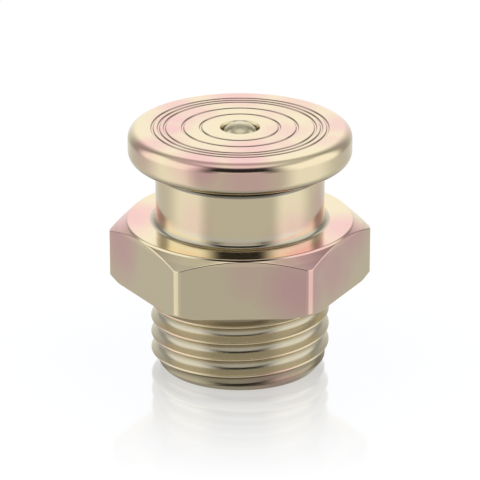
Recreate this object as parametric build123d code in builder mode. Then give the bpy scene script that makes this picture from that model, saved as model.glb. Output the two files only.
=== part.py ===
from build123d import *
import math
import os

# Flat head grease fitting: a turned body with a hexagon, and a sprung check ball inside it.
# Millimetres, +Z up. The origin is the middle of the thread's end face, and the head is on top.

# Turned body, from the thread's end to the head
thread_length = 6.57
thread_major_diameter = 13.03
thread_end_diameter = 11.60
thread_end_chamfer_height = 1.00
relief_diameter = 11.60
relief_width = 0.80
hexagon_height = 4.39
across_flats = 16.60
hexagon_corner_bevel = 0.22
hexagon_chamfer_angle = 30.0
hexagon_bottom_margin = 1.30
hexagon_face_margin = 0.10
hexagon_face_step = 0.15
neck_length = 4.59
neck_diameter = 12.24
neck_foot_round = 0.34
neck_flare = 0.08
neck_flare_height = 1.00
neck_undercut_width = 0.75
neck_undercut_depth = 0.37
neck_undercut_round = 0.12
head_thickness = 2.40
head_diameter = 16.17
head_top_round = 0.90
head_under_round = 0.76

# Ring grooves turned in the flat of the head: their middle diameters, one width and one depth
groove_diameters = (12.64, 11.76, 10.90, 8.25, 5.67)
groove_width = 0.36
groove_depth = 0.12

# Check valve in the middle of the body
ball_diameter = 3.00
ball_stands_proud = 0.38
seat_half_angle = 24.0
seat_lip_width = 0.06
seat_gap = 0.015
mouth_diameter = 2.88
mouth_edge_round = 0.06
bore_diameter = 3.50
spring_mean_diameter = 2.40
spring_wire_diameter = 0.35
spring_active_turns = 11
spring_end_turn_gap = 0.04
spring_seat_gap = 0.02

# Drilled disc pressed in at the thread's end, which carries the spring
retainer_diameter = 5.00
retainer_thickness = 0.90
retainer_edge_chamfer = 0.15
retainer_hole_diameter = 1.40
retainer_hole_chamfer = 0.20
retainer_inset = 0.50
pocket_mouth_chamfer = 0.30

# Levels and radii that follow from the sizes above
hexagon_top_z = thread_length + hexagon_height
hexagon_face_z = hexagon_top_z + hexagon_face_step
head_under_z = hexagon_face_z + neck_length
head_top_z = head_under_z + head_thickness
undercut_radius = neck_diameter / 2 - neck_undercut_depth
undercut_foot_z = head_under_z - neck_undercut_width
hexagon_bottom_circle = across_flats + hexagon_bottom_margin
hexagon_face_diameter = across_flats - hexagon_face_margin
blank_radius = across_flats / 2 / math.cos(math.radians(30)) + hexagon_corner_bevel
chamfer_slope = math.tan(math.radians(hexagon_chamfer_angle))
top_chamfer_drop = (blank_radius - hexagon_face_diameter / 2) * chamfer_slope
bottom_chamfer_rise = (blank_radius - hexagon_bottom_circle / 2) * chamfer_slope
relief_side = (thread_major_diameter - relief_diameter) / 2

# The ball meets the seat cone where the cone's normal passes through the ball's middle
ball_radius = ball_diameter / 2
seat_angle = math.radians(seat_half_angle)
ball_z = head_top_z + ball_stands_proud - ball_radius
contact_radius = (ball_radius + seat_gap) * math.cos(seat_angle)
contact_z = ball_z + (ball_radius + seat_gap) * math.sin(seat_angle)
throat_radius = contact_radius - seat_lip_width
throat_z = contact_z + seat_lip_width / math.tan(seat_angle)
cone_foot_z = contact_z - (bore_diameter / 2 - contact_radius) / math.tan(seat_angle)

# The end turns of the spring lie almost flat, and the ball nests in the top one
wire_radius = spring_wire_diameter / 2
spring_radius = spring_mean_diameter / 2
retainer_top_z = retainer_inset + retainer_thickness
nest_depth = math.sqrt((ball_radius + wire_radius + spring_seat_gap) ** 2 - spring_radius**2)
spring_foot_z = retainer_top_z + wire_radius + spring_seat_gap
end_turn_pitch = spring_wire_diameter + spring_end_turn_gap
active_height = ball_z - nest_depth - spring_foot_z - 2 * end_turn_pitch


def closed_outline(*corners):
    """Closed line through corners, each given as across, up and the radius that rounds it."""
    FilletPolyline(
        *[(across, up) for across, up, _ in corners],
        radius=[rounding for _, _, rounding in corners],
        close=True,
    )


# Body: a turned blank with the six flats milled on it, then the grooves and the stepped bore
with BuildPart() as fitting_body:
    with BuildSketch(Plane.XZ):
        with BuildLine():
            closed_outline(
                (0, 0, 0),
                (thread_end_diameter / 2, 0, 0),
                (thread_major_diameter / 2, thread_end_chamfer_height, 0),
                (thread_major_diameter / 2, thread_length - relief_width - relief_side, 0),
                (relief_diameter / 2, thread_length - relief_width, 0),
                (relief_diameter / 2, thread_length, 0),
                (hexagon_bottom_circle / 2, thread_length, 0),
                (blank_radius, thread_length + bottom_chamfer_rise, 0),
                (blank_radius, hexagon_top_z - top_chamfer_drop, 0),
                (hexagon_face_diameter / 2, hexagon_top_z, 0),
                (hexagon_face_diameter / 2, hexagon_face_z, 0),
                (neck_diameter / 2 + neck_flare, hexagon_face_z, neck_foot_round),
                (neck_diameter / 2, hexagon_face_z + neck_flare_height, 0),
                (neck_diameter / 2, undercut_foot_z, neck_undercut_round),
                (undercut_radius, undercut_foot_z + neck_undercut_depth, neck_undercut_round),
                (undercut_radius, head_under_z, neck_undercut_round),
                (head_diameter / 2, head_under_z, head_under_round),
                (head_diameter / 2, head_top_z, head_top_round),
                (0, head_top_z, 0),
            )
        make_face()
    revolve(axis=Axis.Z)

    with BuildSketch(Plane.XY.offset(thread_length)):
        Circle(blank_radius + hexagon_corner_bevel)
        with BuildSketch(mode=Mode.PRIVATE) as hexagon:
            RegularPolygon(across_flats / 2, 6, major_radius=False)
            chamfer(hexagon.vertices(), hexagon_corner_bevel)
        add(hexagon.sketch_local, mode=Mode.SUBTRACT)
    extrude(amount=hexagon_height, mode=Mode.SUBTRACT)

    cutter_radius = (groove_width**2 / 4 + groove_depth**2) / (2 * groove_depth)
    with BuildSketch(Plane.XZ):
        for groove_diameter in groove_diameters:
            with Locations((groove_diameter / 2, head_top_z + cutter_radius - groove_depth)):
                Circle(cutter_radius)
    revolve(axis=Axis.Z, mode=Mode.SUBTRACT)

    with BuildSketch(Plane.XZ):
        with BuildLine():
            closed_outline(
                (0, 0, 0),
                (retainer_diameter / 2 + pocket_mouth_chamfer, 0, 0),
                (retainer_diameter / 2, pocket_mouth_chamfer, 0),
                (retainer_diameter / 2, retainer_top_z, 0),
                (bore_diameter / 2, retainer_top_z, 0),
                (bore_diameter / 2, cone_foot_z, 0),
                (throat_radius, throat_z, mouth_edge_round),
                (mouth_diameter / 2, head_top_z, 0),
                (0, head_top_z, 0),
            )
        make_face()
    revolve(axis=Axis.Z, mode=Mode.SUBTRACT)
fitting_body.part.label = "fitting_body"

# Check ball, drawn closed against its seat with the running gap between them
with BuildPart() as check_ball:
    with Locations((0, 0, ball_z)):
        Sphere(ball_radius)
check_ball.part.label = "check_ball"

# Spring: wire swept along a helix with one flat end turn at each end
with BuildPart() as check_spring:
    with BuildLine() as coil:
        Helix(end_turn_pitch, end_turn_pitch, spring_radius, center=(0, 0, spring_foot_z))
        Helix(
            active_height / spring_active_turns,
            active_height,
            spring_radius,
            center=(0, 0, spring_foot_z + end_turn_pitch),
        )
        Helix(
            end_turn_pitch,
            end_turn_pitch,
            spring_radius,
            center=(0, 0, spring_foot_z + end_turn_pitch + active_height),
        )
    with BuildSketch(Plane(origin=coil.line @ 0, z_dir=coil.line % 0)):
        Circle(wire_radius)
    sweep(path=coil.line, is_frenet=True)
check_spring.part.label = "check_spring"

# Retainer: a disc with a chamfered grease hole, pressed up against the shoulder of its pocket
with BuildPart() as spring_retainer:
    with BuildSketch(Plane.XY.offset(retainer_inset)):
        Circle(retainer_diameter / 2)
        Circle(retainer_hole_diameter / 2, mode=Mode.SUBTRACT)
    extrude(amount=retainer_thickness)
    bottom_edges = spring_retainer.faces().sort_by(Axis.Z)[0].edges().sort_by(SortBy.RADIUS)
    chamfer(bottom_edges[0], retainer_hole_chamfer)
    chamfer(bottom_edges[-1], retainer_edge_chamfer)
spring_retainer.part.label = "spring_retainer"

os.makedirs("parts", exist_ok=True)
for piece in (fitting_body, check_ball, check_spring, spring_retainer):
    export_step(piece.part, f"parts/{piece.part.label}.step")
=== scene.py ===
import math

import bpy
import numpy as np
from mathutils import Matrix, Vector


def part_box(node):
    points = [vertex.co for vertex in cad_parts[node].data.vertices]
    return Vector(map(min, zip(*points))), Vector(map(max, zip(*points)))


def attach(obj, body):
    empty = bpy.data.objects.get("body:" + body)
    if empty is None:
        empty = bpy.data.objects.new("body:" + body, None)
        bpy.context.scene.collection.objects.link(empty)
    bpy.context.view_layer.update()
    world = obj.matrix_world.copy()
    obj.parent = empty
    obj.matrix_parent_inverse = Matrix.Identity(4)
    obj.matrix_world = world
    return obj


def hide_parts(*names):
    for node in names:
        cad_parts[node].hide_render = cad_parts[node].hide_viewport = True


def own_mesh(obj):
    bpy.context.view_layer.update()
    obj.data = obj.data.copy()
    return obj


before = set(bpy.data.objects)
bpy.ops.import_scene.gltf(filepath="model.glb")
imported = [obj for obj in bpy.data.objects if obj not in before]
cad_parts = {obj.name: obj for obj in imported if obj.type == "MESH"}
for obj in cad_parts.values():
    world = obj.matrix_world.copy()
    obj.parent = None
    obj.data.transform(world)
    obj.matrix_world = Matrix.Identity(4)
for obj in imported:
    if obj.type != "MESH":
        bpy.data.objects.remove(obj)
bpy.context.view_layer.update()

# Flat head grease fitting in a photographer's white tent. The sizes come first, then the pieces as grids of
# points, the metals they are made of and the studio, and at the end each piece takes its solid's place.
# Lengths are written in millimetres and turned into metres where a mesh or a material is made.
MM = 0.001

# Stretches of the body from the head down, and its levels above the thread's end face
HEAD_THICKNESS = 2.40
NECK_LENGTH = 4.59
FACE_STEP = 0.15
HEXAGON_HEIGHT = 4.39
HEAD_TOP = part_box("fitting_body")[1].z / MM
HEAD_UNDER = HEAD_TOP - HEAD_THICKNESS
HEXAGON_FACE = HEAD_UNDER - NECK_LENGTH
HEXAGON_TOP = HEXAGON_FACE - FACE_STEP
HEXAGON_BOTTOM = HEXAGON_TOP - HEXAGON_HEIGHT

# Head and neck
HEAD_RADIUS = 8.085
HEAD_TOP_ROUND = 0.90
HEAD_UNDER_ROUND = 0.76
NECK_RADIUS = 6.12
NECK_FOOT_ROUND = 0.34
NECK_FLARE = 0.08
NECK_FLARE_HEIGHT = 1.00
NECK_FLARE_ROUND = 6.0
UNDERCUT_RADIUS = 5.75
UNDERCUT_WIDTH = 0.66
UNDERCUT_SHOULDER = 0.20

# Hexagon: its flats, the narrow flat on each corner, and where the chamfers run out on its two faces
HEXAGON_APOTHEM = 8.30
HEXAGON_CORNER_BEVEL = 0.22
HEXAGON_EDGE_SOFTNESS = 0.025
CHAMFER_SLOPE = math.tan(math.radians(30))
HEXAGON_FACE_RADIUS = 8.25
FACE_STEP_FOOT = 0.03
FACE_STEP_EDGE = 0.05
HEXAGON_BOTTOM_RADIUS = 8.95
LEAST_BOTTOM_CHAMFER = 0.03

# Pipe thread as it lies in the plating: steep flanks, a sharp crest and a wide round root
THREAD_RADIUS = 6.515
THREAD_PITCH = 1.267
THREAD_CREST_HEIGHT_IN_FRONT = 1.39
THREAD_FLANK_ANGLE = math.radians(30)
THREAD_CREST_ROUND = 0.09
THREAD_ROOT_ROUND = 0.43
THREAD_END_RADIUS = 5.80
THREAD_END_HEIGHT = 0.06
THREAD_CHAMFER_HEIGHT = 1.00
THREAD_RUNOUT_SOFTNESS = 0.06
RELIEF_RADIUS = 5.80
RELIEF_WIDTH = 0.80
RELIEF_SIDE_SLOPE = 1.4

# Ring grooves in the head
GROOVE_RADII = (6.32, 5.86, 5.43, 4.125, 2.835)
GROOVE_WIDTH = 0.25
GROOVE_FLOOR_WIDTH = 0.10
GROOVE_DEPTH = 0.09

# Check valve: the ball and the height of its middle, its seat and bore, the spring, and the retainer in its
# pocket
BALL_RADIUS = 1.50
BALL_MIDDLE = (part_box("check_ball")[0].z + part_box("check_ball")[1].z) / 2 / MM
SEAT_ANGLE = math.radians(24)
SEAT_LIP = 0.06
MOUTH_RADIUS = 1.44
BORE_RADIUS = 1.75
SPRING_RADIUS = 1.20
WIRE_RADIUS = 0.175
SPRING_ACTIVE_TURNS = 11
END_TURN_CLIMB = 2.1 * WIRE_RADIUS
ACTIVE_TURN_EXTRA_CLIMB = 1.0
POCKET_RADIUS = 2.50
POCKET_MOUTH_CHAMFER = 0.30
RETAINER_INSET = 0.50
RETAINER_TOP = 1.40
RETAINER_CLEARANCE = 0.005
RETAINER_EDGE_CHAMFER = 0.15
RETAINER_HOLE_RADIUS = 0.70
RETAINER_HOLE_CHAMFER = 0.20

# An arc takes at most this share of the side it ends on. Beside it a short straight stretch, no longer than
# this and than this share of what is left, keeps the shading of the flat next to it
LARGEST_ARC_SHARE = 0.46
SUPPORT = 0.03
LARGEST_SUPPORT_SHARE = 0.25


def unit(vectors):
    """Each vector divided by its own length."""
    return vectors / np.maximum(np.linalg.norm(vectors, axis=-1, keepdims=True), 1e-9)


def rounded_corner(before, corner, after, rounding, steps):
    """Rows of points that turn a corner of an outline on a circle of the rounding's radius.

    The circle touches both sides at rounding / tan(half the corner's angle) from the corner, and the arc
    is the rational quadratic curve through the two touching points with the corner as its control point,
    weighted by the sine of half the angle. One more point lies on each side just outside the arc."""
    back, on = before - corner, after - corner
    back_length, on_length = (np.linalg.norm(v, axis=-1, keepdims=True) for v in (back, on))
    back, on = unit(back), unit(on)
    half_angle = np.arccos(np.clip((back * on).sum(-1, keepdims=True), -0.9999, 0.9999)) / 2
    reach = rounding / np.tan(half_angle)
    reach = np.minimum(reach, LARGEST_ARC_SHARE * np.minimum(back_length, on_length))
    t = np.linspace(0, 1, steps)[:, None, None]
    weight = np.sin(half_angle)[None]
    first, last = corner + back * reach, corner + on * reach
    top = (1 - t) ** 2 * first + 2 * weight * t * (1 - t) * corner + t**2 * last
    arc = top / ((1 - t) ** 2 + 2 * weight * t * (1 - t) + t**2)
    outside_first = first + back * np.minimum(SUPPORT, LARGEST_SUPPORT_SHARE * (back_length - reach))
    outside_last = last + on * np.minimum(SUPPORT, LARGEST_SUPPORT_SHARE * (on_length - reach))
    return np.concatenate([outside_first[None], arc, outside_last[None]])


def outline_rows(corners, columns):
    """Rows of radius and height for an outline whose corners may differ from column to column.

    A corner is radius, height, rounding and the number of points on its arc; the first and the last
    corner only aim the sides next to them."""
    points = np.stack(
        [np.stack([np.broadcast_to(c[0], columns), np.broadcast_to(c[1], columns)], -1) for c in corners]
    )
    rows = [
        rounded_corner(points[i - 1], points[i], points[i + 1], corners[i][2], corners[i][3])
        for i in range(1, len(corners) - 1)
    ]
    return np.concatenate(rows)


def turned_grid(rows, angles):
    """Points of a turned surface: radius and height rows, swung round the Z axis by each column's angle."""
    radius, height = rows[..., 0], rows[..., 1]
    return np.stack([radius * np.cos(angles), radius * np.sin(angles), height], -1)


def grid_mesh(name, points, wrap_rows=False, ends=(None, None)):
    """Mesh of a grid of points whose columns always close on themselves.

    The rows close on themselves too where wrap_rows is set. An end is a point that closes the first or
    the last row with a fan of triangles."""
    row_count, column_count = points.shape[:2]
    index = np.arange(row_count * column_count).reshape(row_count, column_count)
    below = index if wrap_rows else index[:-1]
    above = np.roll(index, -1, axis=0) if wrap_rows else index[1:]
    quads = np.stack([below, np.roll(below, -1, 1), np.roll(above, -1, 1), above], -1).reshape(-1, 4)
    vertices = points.reshape(-1, 3)
    faces = quads.tolist()
    for end, row, turn in ((ends[0], index[0], -1), (ends[1], index[-1], 1)):
        if end is not None:
            hub = np.full(column_count, len(vertices))
            vertices = np.concatenate([vertices, [end]])
            fan = np.stack([row, np.roll(row, -1), hub], -1)[:, ::turn]
            faces += fan.tolist()
    mesh = bpy.data.meshes.new(name)
    mesh.from_pydata((vertices * MM).tolist(), [], faces)
    mesh.validate()
    mesh.shade_smooth()
    piece = bpy.data.objects.new(name, mesh)
    bpy.context.scene.collection.objects.link(piece)
    return piece


def soft_minimum(a, b, width):
    """The smaller of two values, with the crossing rounded over the given width."""
    blend = np.clip(0.5 + 0.5 * (b - a) / width, 0, 1)
    return b + (a - b) * blend - width * blend * (1 - blend)


def hexagon_bevel():
    """Distance from the axis to the narrow flat milled on each corner, and half its width."""
    sixth = math.radians(60)
    corner = HEXAGON_APOTHEM / math.cos(sixth / 2)
    return corner - HEXAGON_CORNER_BEVEL * math.cos(sixth), HEXAGON_CORNER_BEVEL * math.sin(sixth)


def hexagon_angles(per_flat=26):
    """Column angles of one turn, in degrees until the end: five close together on each of the two edges of a
    corner's bevel, one in the middle of it, and evenly spaced ones from there to the next corner."""
    distance, half_width = hexagon_bevel()
    edge = math.degrees(math.atan2(half_width, distance))
    beside = np.array([-0.30, -0.15, 0.0, 0.15, 0.30])
    clear = edge + beside[-1] + 0.5
    sector = np.concatenate([beside - edge, [0.0], beside + edge, np.linspace(clear, 60 - clear, per_flat)])
    return np.radians(np.concatenate([sector + 60 * k for k in range(6)]))


def hexagon_radius(angles):
    """Distance from the axis to the hexagon's side: the apothem over the cosine on a flat, and on a corner
    the bevel's distance over the cosine, with a slight round between them."""
    sixth = math.radians(60)
    from_corner = np.abs((angles + sixth / 2) % sixth - sixth / 2)
    flat = HEXAGON_APOTHEM / np.cos(sixth / 2 - from_corner)
    bevel = hexagon_bevel()[0] / np.cos(from_corner)
    return soft_minimum(flat, bevel, HEXAGON_EDGE_SOFTNESS)


def thread_depth(turns):
    """How far the thread's surface lies under its crest, for a distance from the crest in pitches.

    A small circle over the crest, a straight flank that touches it, and a wide circle in the root."""
    lean = math.sin(THREAD_FLANK_ANGLE)
    upright = math.cos(THREAD_FLANK_ANGLE)
    along = np.abs((turns + 0.5) % 1 - 0.5) * THREAD_PITCH
    from_root = THREAD_PITCH / 2 - along
    crest_end, root_end = THREAD_CREST_ROUND * upright, THREAD_ROOT_ROUND * upright
    flank_run = THREAD_PITCH / 2 - crest_end - root_end
    crest_drop = THREAD_CREST_ROUND * (1 - lean)
    root_rise = THREAD_ROOT_ROUND * (1 - lean)
    full = crest_drop + flank_run * upright / lean + root_rise
    on_crest = THREAD_CREST_ROUND - np.sqrt(np.maximum(THREAD_CREST_ROUND**2 - along**2, 0))
    on_flank = crest_drop + (along - crest_end) * upright / lean
    on_root = full - THREAD_ROOT_ROUND + np.sqrt(np.maximum(THREAD_ROOT_ROUND**2 - from_root**2, 0))
    return np.where(along < crest_end, on_crest, np.where(from_root < root_end, on_root, on_flank))


def thread_rows(angles, row_count=170):
    """Rows of the threaded stretch: the crest radius less the thread's depth, which climbs one pitch in
    one right hand turn, cut back by the end chamfer's cone and by the relief under the hexagon."""
    low, high = THREAD_END_HEIGHT, HEXAGON_BOTTOM - RELIEF_WIDTH
    height = np.linspace(low, high, row_count)[:, None]
    turns = (height - THREAD_CREST_HEIGHT_IN_FRONT) / THREAD_PITCH - (angles + math.pi / 2) / math.tau
    chamfer_slope = (THREAD_RADIUS - THREAD_END_RADIUS) / THREAD_CHAMFER_HEIGHT
    end_cone = THREAD_END_RADIUS + height * chamfer_slope
    relief_side = RELIEF_RADIUS + (high - height) * RELIEF_SIDE_SLOPE
    radius = THREAD_RADIUS - thread_depth(turns)
    radius = soft_minimum(radius, end_cone, THREAD_RUNOUT_SOFTNESS)
    radius = soft_minimum(radius, relief_side, THREAD_RUNOUT_SOFTNESS)
    return np.stack([radius, np.broadcast_to(height, radius.shape)], -1)


def groove_corners(centre):
    """Corners of one ring groove, from its outer edge to its inner edge: two steep walls and a flat floor."""
    half, floor = GROOVE_WIDTH / 2, GROOVE_FLOOR_WIDTH / 2
    bottom = HEAD_TOP - GROOVE_DEPTH
    return [
        (centre + half, HEAD_TOP, 0.03, 3),
        (centre + floor, bottom, 0.04, 3),
        (centre - floor, bottom, 0.04, 3),
        (centre - half, HEAD_TOP, 0.03, 3),
    ]


def outside_corners(side):
    """Corners of the body's outside from the relief over the thread to the rim of the head."""
    bottom_inner = np.minimum(HEXAGON_BOTTOM_RADIUS, side - LEAST_BOTTOM_CHAMFER)
    bottom_edge = HEXAGON_BOTTOM + (side - bottom_inner) * CHAMFER_SLOPE
    top_edge = HEXAGON_TOP - (side - HEXAGON_FACE_RADIUS) * CHAMFER_SLOPE
    undercut_foot = HEAD_UNDER - UNDERCUT_WIDTH
    return [
        (RELIEF_RADIUS, HEXAGON_BOTTOM, 0.20, 5),
        (bottom_inner, HEXAGON_BOTTOM, 0.06, 3),
        (side, bottom_edge, 0.08, 4),
        (side, top_edge, 0.12, 5),
        (HEXAGON_FACE_RADIUS + FACE_STEP_FOOT, HEXAGON_TOP, 0.03, 3),
        (HEXAGON_FACE_RADIUS - FACE_STEP_EDGE, HEXAGON_FACE, 0.10, 4),
        (NECK_RADIUS + NECK_FLARE, HEXAGON_FACE, NECK_FOOT_ROUND, 10),
        (NECK_RADIUS, HEXAGON_FACE + NECK_FLARE_HEIGHT, NECK_FLARE_ROUND, 6),
        (NECK_RADIUS, undercut_foot, 0.08, 5),
        (UNDERCUT_RADIUS, undercut_foot + UNDERCUT_SHOULDER, 0.12, 5),
        (UNDERCUT_RADIUS, HEAD_UNDER, 0.12, 5),
        (HEAD_RADIUS, HEAD_UNDER, HEAD_UNDER_ROUND, 12),
        (HEAD_RADIUS, HEAD_TOP, HEAD_TOP_ROUND, 16),
    ]


def inside_corners():
    """Corners of the stepped bore from the mouth in the head to the mouth of the retainer's pocket.

    The ball touches the seat's cone where the cone's normal passes through the ball's middle."""
    contact = BALL_RADIUS * math.cos(SEAT_ANGLE)
    contact_height = BALL_MIDDLE + BALL_RADIUS * math.sin(SEAT_ANGLE)
    throat_height = contact_height + SEAT_LIP / math.tan(SEAT_ANGLE)
    cone_foot = contact_height - (BORE_RADIUS - contact) / math.tan(SEAT_ANGLE)
    return [
        (MOUTH_RADIUS, HEAD_TOP, 0.05, 4),
        (contact - SEAT_LIP, throat_height, 0.06, 5),
        (BORE_RADIUS, cone_foot, 0.10, 3),
        (BORE_RADIUS, RETAINER_TOP, 0.05, 3),
        (POCKET_RADIUS, RETAINER_TOP, 0.05, 3),
        (POCKET_RADIUS, POCKET_MOUTH_CHAMFER, 0.05, 3),
    ]


def fitting_body():
    """The body as one closed grid: its outline runs out along the end face, up the thread and the hexagon,
    over the head, down the mouth and the bore, and back to the end face."""
    angles = hexagon_angles()
    columns = len(angles)
    thread = thread_rows(angles)
    thread_start, thread_end = ((row[:, 0], row[:, 1]) for row in (thread[0], thread[-1]))
    pocket_mouth = POCKET_RADIUS + POCKET_MOUTH_CHAMFER
    end_face = [
        (POCKET_RADIUS, POCKET_MOUTH_CHAMFER),
        (pocket_mouth, 0, 0.05, 4),
        (THREAD_END_RADIUS, 0, 0.08, 5),
        thread_start,
    ]
    grooves = [corner for radius in GROOVE_RADII for corner in groove_corners(radius)]
    outside = outside_corners(hexagon_radius(angles))
    above_thread = [thread_end, *outside, *grooves, *inside_corners(), (pocket_mouth, 0)]
    rows = np.concatenate([outline_rows(end_face, columns), thread, outline_rows(above_thread, columns)])
    return grid_mesh("turned_body", turned_grid(rows, angles), wrap_rows=True)


def check_ball(columns=96, row_count=48):
    """A sphere on rows of latitude, with a pole at each end."""
    latitude = np.linspace(-math.pi / 2, math.pi / 2, row_count + 2)[1:-1, None]
    angles = np.linspace(0, math.tau, columns, endpoint=False)
    radius = BALL_RADIUS * np.cos(latitude) + 0 * angles
    height = BALL_MIDDLE + BALL_RADIUS * np.sin(latitude) + 0 * angles
    poles = ((0, 0, BALL_MIDDLE - BALL_RADIUS), (0, 0, BALL_MIDDLE + BALL_RADIUS))
    return grid_mesh("polished_ball", turned_grid(np.stack([radius, height], -1), angles), ends=poles)


def spring_retainer(columns=96):
    """The pressed-in disc as one closed grid: out under it, up its rim, back over it and down its hole."""
    angles = np.linspace(0, math.tau, columns, endpoint=False)
    rim, top = POCKET_RADIUS - RETAINER_CLEARANCE, RETAINER_TOP - RETAINER_CLEARANCE
    corners = [
        (RETAINER_HOLE_RADIUS + RETAINER_HOLE_CHAMFER, RETAINER_INSET, 0.03, 3),
        (POCKET_RADIUS - RETAINER_EDGE_CHAMFER, RETAINER_INSET, 0.05, 3),
        (rim, RETAINER_INSET + RETAINER_EDGE_CHAMFER, 0.05, 3),
        (rim, top, 0.03, 3),
        (RETAINER_HOLE_RADIUS, top, 0.03, 3),
        (RETAINER_HOLE_RADIUS, RETAINER_INSET + RETAINER_HOLE_CHAMFER, 0.03, 3),
    ]
    rows = outline_rows([corners[-1]] + corners + [corners[0]], columns)
    return grid_mesh("drilled_retainer", turned_grid(rows, angles), wrap_rows=True)


def check_spring(per_turn=40, around=12):
    """Round wire carried along a helix whose climb eases from flat end turns to the open turns between.

    The wire's middle goes round at one radius. Its climb per turn rises with a smooth step over one turn,
    beginning half a turn from each end, and its height is the sum of the climb, stretched to the spring's
    own height. The wire's section stands square to that path."""
    low, high = (corner.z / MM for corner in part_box("check_spring"))
    low, high = low + WIRE_RADIUS, high - WIRE_RADIUS
    turn = np.linspace(0, SPRING_ACTIVE_TURNS + 2, (SPRING_ACTIVE_TURNS + 2) * per_turn + 1)
    ease = np.clip(np.minimum(turn, turn[-1] - turn) - 0.5, 0, 1)
    climb = END_TURN_CLIMB + (ease**2 * (3 - 2 * ease)) * ACTIVE_TURN_EXTRA_CLIMB
    height = np.concatenate([[0], np.cumsum((climb[1:] + climb[:-1]) / 2 * np.diff(turn))])
    height = low + height * (high - low) / height[-1]
    angle = turn * math.tau
    path = np.stack([SPRING_RADIUS * np.cos(angle), SPRING_RADIUS * np.sin(angle), height], -1)
    along = unit(np.gradient(path, axis=0))
    outward = np.stack([np.cos(angle), np.sin(angle), 0 * angle], -1)
    across = np.cross(along, outward)
    round_wire = np.linspace(0, math.tau, around, endpoint=False)[None, :, None]
    section = np.cos(round_wire) * outward[:, None] + np.sin(round_wire) * across[:, None]
    points = path[:, None] + WIRE_RADIUS * section
    return grid_mesh("helical_spring", points, ends=(path[0], path[-1]))


def linear(code):
    """Linear red, green, blue and alpha of an sRGB hex colour."""
    channels = [int(code[i : i + 2], 16) / 255 for i in (1, 3, 5)]
    return tuple(c / 12.92 if c <= 0.04045 else ((c + 0.055) / 1.055) ** 2.4 for c in channels) + (1.0,)


def add(tree, kind, settings=None, **inputs):
    """Adds a node, sets its own settings, and links or sets each named input. A number names an input by
    its place, as in i0."""
    node = tree.nodes.new(kind)
    for key, value in (settings or {}).items():
        setattr(node, key, value)
    for key, value in inputs.items():
        slot = int(key[1:]) if key[0] == "i" and key[1:].isdigit() else key.replace("_", " ").title()
        socket = node.inputs[slot]
        if isinstance(value, bpy.types.NodeSocket):
            tree.links.new(value, socket)
        else:
            socket.default_value = value
    return node


def new_material(name):
    """A material with an empty tree but for its output."""
    material = bpy.data.materials.new(name)
    material.use_nodes = True
    tree = material.node_tree
    tree.nodes.clear()
    return material, tree, add(tree, "ShaderNodeOutputMaterial")


def window(tree, value, begins, full, ends, over):
    """0 outside begins and over, 1 between full and ends, and a smooth step between them."""
    rise = add(
        tree, "ShaderNodeMapRange", {"interpolation_type": "SMOOTHSTEP"}, i0=value, i1=begins, i2=full
    ).outputs[0]
    fall = add(
        tree, "ShaderNodeMapRange", {"interpolation_type": "SMOOTHSTEP"}, i0=value, i1=over, i2=ends
    ).outputs[0]
    return add(tree, "ShaderNodeMath", {"operation": "MULTIPLY"}, i0=rise, i1=fall).outputs[0]


def fine_grain(tree, place, size, gloss, bump_strength, bump_depth):
    """Roughness and normal of metal with a fine even grain, whose size and depth are in millimetres.

    The roughness goes from one value of gloss to the other as the noise goes through its usual range."""
    grain = add(tree, "ShaderNodeTexNoise", Vector=place, Scale=1 / (size * MM), Detail=3.0).outputs[0]
    low, high = gloss
    roughness = add(tree, "ShaderNodeMapRange", i0=grain, i1=0.2, i2=0.8, i3=low, i4=high).outputs[0]
    normal = add(
        tree, "ShaderNodeBump", Strength=bump_strength, Distance=bump_depth * MM, Height=grain
    ).outputs[0]
    return roughness, normal


# Chromate film on the zinc: cream, and pink where it is a little thicker. A pink place is full within the
# first share of its radius and gone beyond the second. Its outline wanders by up to about half the shift,
# with clouds of the given size
CREAM_FILM = "#F8E9C4"
PINK_FILM = "#F8C9C3"
PINK_FULL_WITHIN = 0.20
PINK_GONE_BEYOND = 1.40
CLOUD_SIZE = 3.0
CLOUD_SHIFT = 1.8

# Pink places: the middle and the radius of each, and how pink it is
PINK_PLACES = (
    ((-4.6, 5.0, 18.1), 1.9, 0.80),
    ((0.0, 7.0, 18.0), 2.6, 0.90),
    ((4.6, 5.2, 18.1), 2.3, 0.60),
    ((7.2, 0.6, 18.0), 2.3, 0.75),
    ((-6.4, -3.4, 18.1), 1.9, 0.75),
    ((-3.0, -6.6, 18.0), 2.1, 1.00),
    ((0.2, -6.9, 18.0), 1.9, 1.00),
    ((0.6, -4.1, 18.1), 1.9, 0.90),
    ((6.2, -3.0, 18.1), 1.3, 0.50),
    ((-4.7, 1.8, 18.1), 1.9, 0.90),
    ((-4.9, -0.4, 18.1), 1.6, 1.00),
    ((-4.9, -2.6, 18.1), 1.4, 0.60),
    ((3.4, -0.9, 18.1), 2.0, 0.65),
    ((-3.2, 3.2, 18.1), 1.7, 0.70),
    ((2.4, 3.0, 18.1), 1.4, 0.40),
    ((2.7, -3.4, 18.1), 1.3, 0.60),
    ((0.2, -8.2, 16.8), 2.6, 0.75),
    ((-3.4, -5.0, 12.8), 1.6, 0.40),
    ((4.0, -4.6, 11.9), 1.6, 0.60),
    ((-8.2, 0.6, 11.1), 3.2, 1.00),
    ((7.8, -2.4, 11.7), 3.1, 1.00),
    ((4.7, -6.5, 11.2), 2.8, 1.00),
    ((-8.8, -1.4, 9.9), 2.6, 0.90),
    ((3.9, -8.2, 9.0), 3.0, 0.95),
    ((0.6, -8.3, 9.8), 2.2, 0.40),
    ((6.5, -5.1, 9.3), 3.0, 0.80),
    ((-5.2, -3.4, 4.0), 3.0, 0.40),
    ((2.6, -5.5, 0.8), 2.2, 0.60),
)

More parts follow.
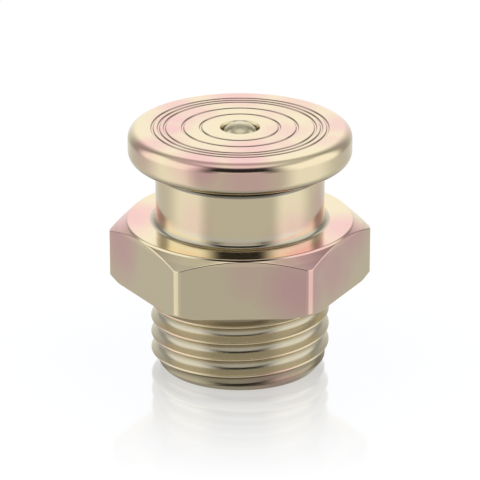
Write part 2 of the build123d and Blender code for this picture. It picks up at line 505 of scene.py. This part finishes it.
# Painted shade and tints, zone by zone: the walls of the ring grooves, the mouth and ball seat, the undercut
# of the neck, the underside of the head, the round at the neck's foot, the thread's relief, flanks and roots
# and the end chamfer are painted darker and greyer where shade falls; the foot of the neck gets a greyer tint
# and the hexagon's flats a cooler one. Each zone is a name, a level of the body, whether the zone's colour
# takes the place of the film's or multiplies it, that colour, and two windows, over the radius and over the
# height from that level, each written as where it begins, is full, ends being full and is over
PAINTED_SHADE_AND_TINT_ZONES = (
    ("painted_shade_on_groove_walls", HEAD_TOP, "MIX", "#BCA69A",
     (2.4, 2.5, 6.60, 6.65), (-0.092, -0.078, -0.02, -0.005)),
    ("painted_shade_in_mouth_and_seat", HEAD_TOP, "MIX", "#8E8776",
     (-2, -1, 1.42, 1.46), (-3.0, -2.9, -0.30, -0.05)),
    ("painted_shade_in_neck_undercut", HEAD_UNDER, "MIX", "#9A968C",
     (5.0, 5.1, 6.14, 6.20), (-0.88, -0.76, -0.02, 0.10)),
    ("painted_shade_under_the_head", HEAD_UNDER, "MIX", "#BFBBA8",
     (6.12, 6.20, 8.04, 8.09), (-0.2, -0.1, 0.30, 0.62)),
    ("foot_of_the_neck", HEXAGON_FACE, "MIX", "#F3EBD4",
     (5.0, 5.1, 6.18, 6.23), (0.10, 0.30, 0.50, 1.00)),
    ("painted_shade_in_neck_foot_round", HEXAGON_FACE, "MIX", "#CDC4AE",
     (6.16, 6.20, 6.46, 6.60), (-0.02, 0.0, 0.35, 0.50)),
    ("flats_of_the_hexagon", HEXAGON_TOP, "MULTIPLY", "#F3F4F8",
     (8.27, 8.29, 9.38, 9.44), (-4.5, -4.4, -0.42, -0.30)),
    ("painted_shade_in_thread_relief", HEXAGON_BOTTOM, "MIX", "#CFC9BE",
     (4.9, 5.0, 7.20, 7.60), (-0.95, -0.80, 0.0, 0.1)),
    ("painted_shade_on_thread_flanks", 0.0, "MIX", "#DBD2BA",
     (5.70, 5.98, 6.38, 6.50), (0.80, 1.10, 5.70, 5.90)),
    ("painted_shade_in_thread_roots", 0.0, "MIX", "#C6BB9F",
     (4.9, 5.0, 5.72, 5.98), (0.95, 1.20, 5.70, 5.90)),
    ("painted_shade_on_end_chamfer", 0.0, "MULTIPLY", "#B8B8B8",
     (4.9, 5.0, 6.60, 6.70), (-0.1, -0.05, 0.90, 1.10)),
)

# Satin gloss of the turned steel under the film, how much rougher the rolled thread is, and the window over
# the height where it is
TURNED_GLOSS = (0.11, 0.16)
THREAD_EXTRA_ROUGHNESS = 0.12
THREAD_HEIGHT_WINDOW = (-2.0, -1.0, HEXAGON_BOTTOM - 0.5, HEXAGON_BOTTOM)


def passivated_zinc():
    """Zinc plated turned steel, yellow passivated.

    The chromate film is a few hundred nanometres thick, and its interference tints the bright zinc cream,
    and pink where it is a little thicker, in soft clouds some millimetres wide. Grooves, the mouth, the
    undercut and underside of the head, the round at the neck's foot and the thread with its relief and end
    chamfer are painted darker and greyer as painted shade; the foot of the neck is tinted greyer and the
    hexagon's flats cooler. The turned steel under it leaves a satin gloss, whose grain is finer than shows
    here, so it is drawn a third of a millimetre wide."""
    material, tree, output = new_material("passivated_zinc_on_turned_steel")
    place = add(tree, "ShaderNodeTexCoord").outputs["Object"]
    clouds = add(
        tree,
        "ShaderNodeTexNoise",
        {"noise_dimensions": "3D"},
        Vector=place,
        Scale=1 / (CLOUD_SIZE * MM),
        Detail=2.0,
    ).outputs["Color"]
    centred = add(tree, "ShaderNodeVectorMath", {"operation": "SUBTRACT"}, i0=clouds, i1=(0.5, 0.5, 0.5))
    shift = add(
        tree, "ShaderNodeVectorMath", {"operation": "SCALE"}, i0=centred.outputs[0], Scale=CLOUD_SHIFT * MM
    )
    moved = add(tree, "ShaderNodeVectorMath", {"operation": "ADD"}, i0=place, i1=shift.outputs[0]).outputs[0]
    pink = 0.0
    for middle, radius, strength in PINK_PLACES:
        centre = tuple(c * MM for c in middle)
        distance = add(tree, "ShaderNodeVectorMath", {"operation": "DISTANCE"}, i0=moved, i1=centre)
        here = add(
            tree,
            "ShaderNodeMapRange",
            {"interpolation_type": "SMOOTHSTEP"},
            i0=distance.outputs["Value"],
            i1=radius * PINK_GONE_BEYOND * MM,
            i2=radius * PINK_FULL_WITHIN * MM,
            i4=strength,
        )
        pink = add(tree, "ShaderNodeMath", {"operation": "MAXIMUM"}, i0=pink, i1=here.outputs[0]).outputs[0]
    tint = add(
        tree, "ShaderNodeMix", {"data_type": "RGBA"}, i0=pink, i6=linear(CREAM_FILM), i7=linear(PINK_FILM)
    ).outputs[2]
    x, y, z = add(tree, "ShaderNodeSeparateXYZ", i0=place).outputs
    level = add(tree, "ShaderNodeCombineXYZ", X=x, Y=y).outputs[0]
    radius = add(tree, "ShaderNodeVectorMath", {"operation": "LENGTH"}, i0=level).outputs["Value"]
    # Zone by zone the film's colour is darkened and greyed as painted shade, or tinted at the neck's foot and
    # the hexagon's flats
    for name, height, blend, code, across, up in PAINTED_SHADE_AND_TINT_ZONES:
        inside = add(
            tree,
            "ShaderNodeMath",
            {"operation": "MULTIPLY"},
            i0=window(tree, radius, *(r * MM for r in across)),
            i1=window(tree, z, *((height + h) * MM for h in up)),
        )
        tint = add(
            tree,
            "ShaderNodeMix",
            {"data_type": "RGBA", "blend_type": blend, "label": name},
            i0=inside.outputs[0],
            i6=tint,
            i7=linear(code),
        ).outputs[2]
    gloss, normal = fine_grain(
        tree, place, size=0.35, gloss=TURNED_GLOSS, bump_strength=0.04, bump_depth=0.02
    )
    on_thread = window(tree, z, *(h * MM for h in THREAD_HEIGHT_WINDOW))
    roughness = add(
        tree,
        "ShaderNodeMath",
        {"operation": "MULTIPLY_ADD"},
        i0=on_thread,
        i1=THREAD_EXTRA_ROUGHNESS,
        i2=gloss,
    ).outputs[0]
    shader = add(
        tree, "ShaderNodeBsdfPrincipled", Base_Color=tint, Metallic=1.0, Roughness=roughness, Normal=normal
    )
    tree.links.new(shader.outputs[0], output.inputs[0])
    return material


def bare_steel(name, code, gloss, grain_size, bump_strength, bump_depth=0.01):
    """Steel of one colour with a fine even grain, which spreads its highlights a little. The real grain is
    finer than shows here, so it is drawn as wide as grain_size."""
    material, tree, output = new_material(name)
    place = add(tree, "ShaderNodeTexCoord").outputs["Object"]
    roughness, normal = fine_grain(tree, place, grain_size, gloss, bump_strength, bump_depth)
    shader = add(
        tree,
        "ShaderNodeBsdfPrincipled",
        Base_Color=linear(code),
        Metallic=1.0,
        Roughness=roughness,
        Normal=normal,
    )
    tree.links.new(shader.outputs[0], output.inputs[0])
    return material


# Camera: its distance, height angle and bearing from the object, and the height on the axis it looks at
CAMERA_DISTANCE = 250.0
CAMERA_ELEVATION = math.radians(21.50)
CAMERA_BEARING = math.radians(-1.70)
LOOK_AT_HEIGHT = HEAD_TOP - 8.72
PIXELS_PER_MM = 13.75
IMAGE_WIDTH = 480
SENSOR_WIDTH = 36.0


def place_camera():
    """Long lens that shows one millimetre at the axis as the photograph does."""
    camera_data = bpy.data.cameras.new("camera")
    camera_data.sensor_width = SENSOR_WIDTH
    camera_data.lens = PIXELS_PER_MM * CAMERA_DISTANCE * camera_data.sensor_width / IMAGE_WIDTH
    camera = bpy.data.objects.new("camera", camera_data)
    bpy.context.scene.collection.objects.link(camera)
    level = CAMERA_DISTANCE * math.cos(CAMERA_ELEVATION)
    camera.location = (
        level * math.sin(CAMERA_BEARING) * MM,
        -level * math.cos(CAMERA_BEARING) * MM,
        (LOOK_AT_HEIGHT + CAMERA_DISTANCE * math.sin(CAMERA_ELEVATION)) * MM,
    )
    camera.rotation_euler = (math.pi / 2 - CAMERA_ELEVATION, 0, CAMERA_BEARING)
    camera_data.clip_start = 0.01
    camera_data.clip_end = 5.0
    bpy.context.scene.camera = camera


# What the object sees of the studio, from the furthest card to the nearest. Each has a bearing from the
# camera to either side and a height above the horizon, both in degrees, written as where it begins, is
# full, ends being full and is over, and its brightness against the white walls of the tent
STUDIO_CARDS = (
    ("ceiling", (-2, -1, 181, 182), (56, 74, 91, 92), 0.84),
    ("gap under the ceiling", (-2, -1, 181, 182), (36, 54, 60, 72), 0.50),
    ("back of the ceiling", (60, 150, 181, 182), (60, 68, 74, 92), 0.44),
    ("table", (-2, -1, 181, 182), (-91, -90, -20, 6), 0.84),
    ("grey behind each side of the table", (84, 116, 136, 190), (-91, -90, -24, -2), 0.56),
    ("table near the foot", (-2, -1, 181, 182), (-91, -90, -56, -24), 0.55),
    ("dark strip behind each side", (108, 126, 132, 176), (-26, -4, 46, 60), 0.34),
    ("grey table in front", (-2, -1, 41, 63), (-91, -90, -6, 2), 0.50),
    ("black panel in front", (-2, -1, 26, 60), (-10, 2, 50, 68), 0.02),
    ("grey card before the panel", (-2, -1, 16, 38), (-12, -2, 12, 20), 0.54),
)

# The share of the tent's light that falls on what doesn't mirror it
LIGHT_ON_MATT_THINGS = 0.8


def studio_world():
    """White tent with a table and grey and black cards, worked out for the bearing and height of each
    direction. The camera sees it plain white, the metal sees the cards too, and what doesn't mirror the
    tent gets a share of its light."""
    world = bpy.data.worlds.new("studio")
    bpy.context.scene.world = world
    world.use_nodes = True
    tree = world.node_tree
    tree.nodes.clear()
    output = add(tree, "ShaderNodeOutputWorld")
    direction = add(tree, "ShaderNodeTexCoord").outputs["Generated"]
    x, y, z = add(tree, "ShaderNodeSeparateXYZ", i0=direction).outputs
    toward_camera = add(tree, "ShaderNodeMath", {"operation": "MULTIPLY"}, i0=y, i1=-1.0).outputs[0]
    bearing = add(tree, "ShaderNodeMath", {"operation": "ARCTAN2"}, i0=x, i1=toward_camera).outputs[0]
    bearing = add(tree, "ShaderNodeMath", {"operation": "SUBTRACT"}, i0=bearing, i1=CAMERA_BEARING).outputs[0]
    bearing = add(tree, "ShaderNodeMath", {"operation": "ABSOLUTE"}, i0=bearing).outputs[0]
    bearing = add(tree, "ShaderNodeMath", {"operation": "DEGREES"}, i0=bearing).outputs[0]
    rise = add(tree, "ShaderNodeMath", {"operation": "ARCSINE"}, i0=z).outputs[0]
    rise = add(tree, "ShaderNodeMath", {"operation": "DEGREES"}, i0=rise).outputs[0]
    light = 1.0
    for name, across, up, brightness in STUDIO_CARDS:
        beside, level = window(tree, bearing, *across), window(tree, rise, *up)
        inside = add(tree, "ShaderNodeMath", {"operation": "MULTIPLY"}, i0=beside, i1=level).outputs[0]
        card = add(tree, "ShaderNodeMix", {"label": name}, i0=inside, i2=light, i3=brightness)
        light = card.outputs[0]
    rays = add(tree, "ShaderNodeLightPath").outputs
    mirrored = add(
        tree,
        "ShaderNodeMath",
        {"operation": "MAXIMUM"},
        i0=rays["Is Glossy Ray"],
        i1=rays["Is Transmission Ray"],
    ).outputs[0]
    share = add(tree, "ShaderNodeMapRange", i0=mirrored, i3=LIGHT_ON_MATT_THINGS, i4=1.0).outputs[0]
    strength = add(tree, "ShaderNodeMath", {"operation": "MULTIPLY"}, i0=light, i1=share).outputs[0]
    strength = add(
        tree, "ShaderNodeMath", {"operation": "MAXIMUM"}, i0=strength, i1=rays["Is Camera Ray"]
    ).outputs[0]
    shader = add(tree, "ShaderNodeBackground", Color=(1, 1, 1, 1), Strength=strength)
    tree.links.new(shader.outputs[0], output.inputs[0])


# Floor: half its width, its white, and its mirror: the distances from the axis where the mirror begins to
# fade and is gone, the power of that fade, and the mirror's share at the foot, its tint and its roughness
FLOOR_HALF_WIDTH = 400.0
FLOOR_GLOW = 1.135
FLOOR_PAINT = (0.95, 0.97, 1.0, 1.0)
FLOOR_PAINT_SHARE = 0.18
MIRROR_FADE = (6.0, 22.0)
MIRROR_FADE_POWER = 1.5
MIRROR_SHARE = 0.46
MIRROR_TINT = (0.93, 0.965, 1.0, 1.0)
MIRROR_ROUGHNESS = 0.09


def polished_floor():
    """Plain white floor that mirrors the object faintly, less and less with the distance from it.

    The paint's share takes the object's soft shadow, and the glow holds the rest at white."""
    material, tree, output = new_material("white_polished_floor")
    place = add(tree, "ShaderNodeTexCoord").outputs["Object"]
    away = add(tree, "ShaderNodeVectorMath", {"operation": "LENGTH"}, i0=place).outputs["Value"]
    begins, gone = (distance * MM for distance in MIRROR_FADE)
    faded = add(tree, "ShaderNodeMapRange", i0=away, i1=begins, i2=gone, i3=1.0, i4=0.0).outputs[0]
    faded = add(tree, "ShaderNodeMath", {"operation": "POWER"}, i0=faded, i1=MIRROR_FADE_POWER).outputs[0]
    share = add(tree, "ShaderNodeMath", {"operation": "MULTIPLY"}, i0=faded, i1=MIRROR_SHARE).outputs[0]
    glow = add(tree, "ShaderNodeEmission", Color=(1, 1, 1, 1), Strength=FLOOR_GLOW)
    paint = add(tree, "ShaderNodeBsdfDiffuse", Color=FLOOR_PAINT)
    white = add(tree, "ShaderNodeMixShader", i0=FLOOR_PAINT_SHARE, i1=glow.outputs[0], i2=paint.outputs[0])
    mirror = add(tree, "ShaderNodeBsdfGlossy", Color=MIRROR_TINT, Roughness=MIRROR_ROUGHNESS)
    mixed = add(tree, "ShaderNodeMixShader", i0=share, i1=white.outputs[0], i2=mirror.outputs[0])
    tree.links.new(mixed.outputs[0], output.inputs[0])
    half = FLOOR_HALF_WIDTH * MM
    floor_mesh = bpy.data.meshes.new("studio_floor")
    ring = [(-half, -half, 0), (half, -half, 0), (half, half, 0), (-half, half, 0)]
    floor_mesh.from_pydata(ring, [], [(0, 1, 2, 3)])
    floor = bpy.data.objects.new("studio_floor", floor_mesh)
    bpy.context.scene.collection.objects.link(floor)
    floor_mesh.materials.append(material)
    # The metal mirrors the tent's table in place of this floor
    floor.visible_glossy = False


def dress(piece, node, body, material):
    """Puts a finished piece in the place of its CAD node and on its body."""
    piece.data.materials.append(material)
    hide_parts(node)
    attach(piece, body)


place_camera()
studio_world()
polished_floor()

# Turned and stamped pieces share the plating. The ball is lapped bearing steel, almost a mirror, which the
# film of oil on it warms. The wire is drawn, and the scores of the die leave it grey and dull
plating = passivated_zinc()
ball_steel = bare_steel(
    "polished_bearing_steel", "#E0D6B6", gloss=(0.04, 0.08), grain_size=0.3, bump_strength=0.02
)
spring_wire = bare_steel(
    "drawn_spring_wire", "#BDB9B0", gloss=(0.25, 0.38), grain_size=0.12, bump_strength=0.15
)
dress(fitting_body(), "fitting_body", "fitting", plating)
dress(check_ball(), "check_ball", "ball", ball_steel)
dress(spring_retainer(), "spring_retainer", "fitting", plating)

# The spring stands on its foot and keeps a mesh of its own
spring = check_spring()
dress(spring, "check_spring", "fitting", spring_wire)
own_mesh(spring)

bpy.context.scene.view_settings.view_transform = "Standard"
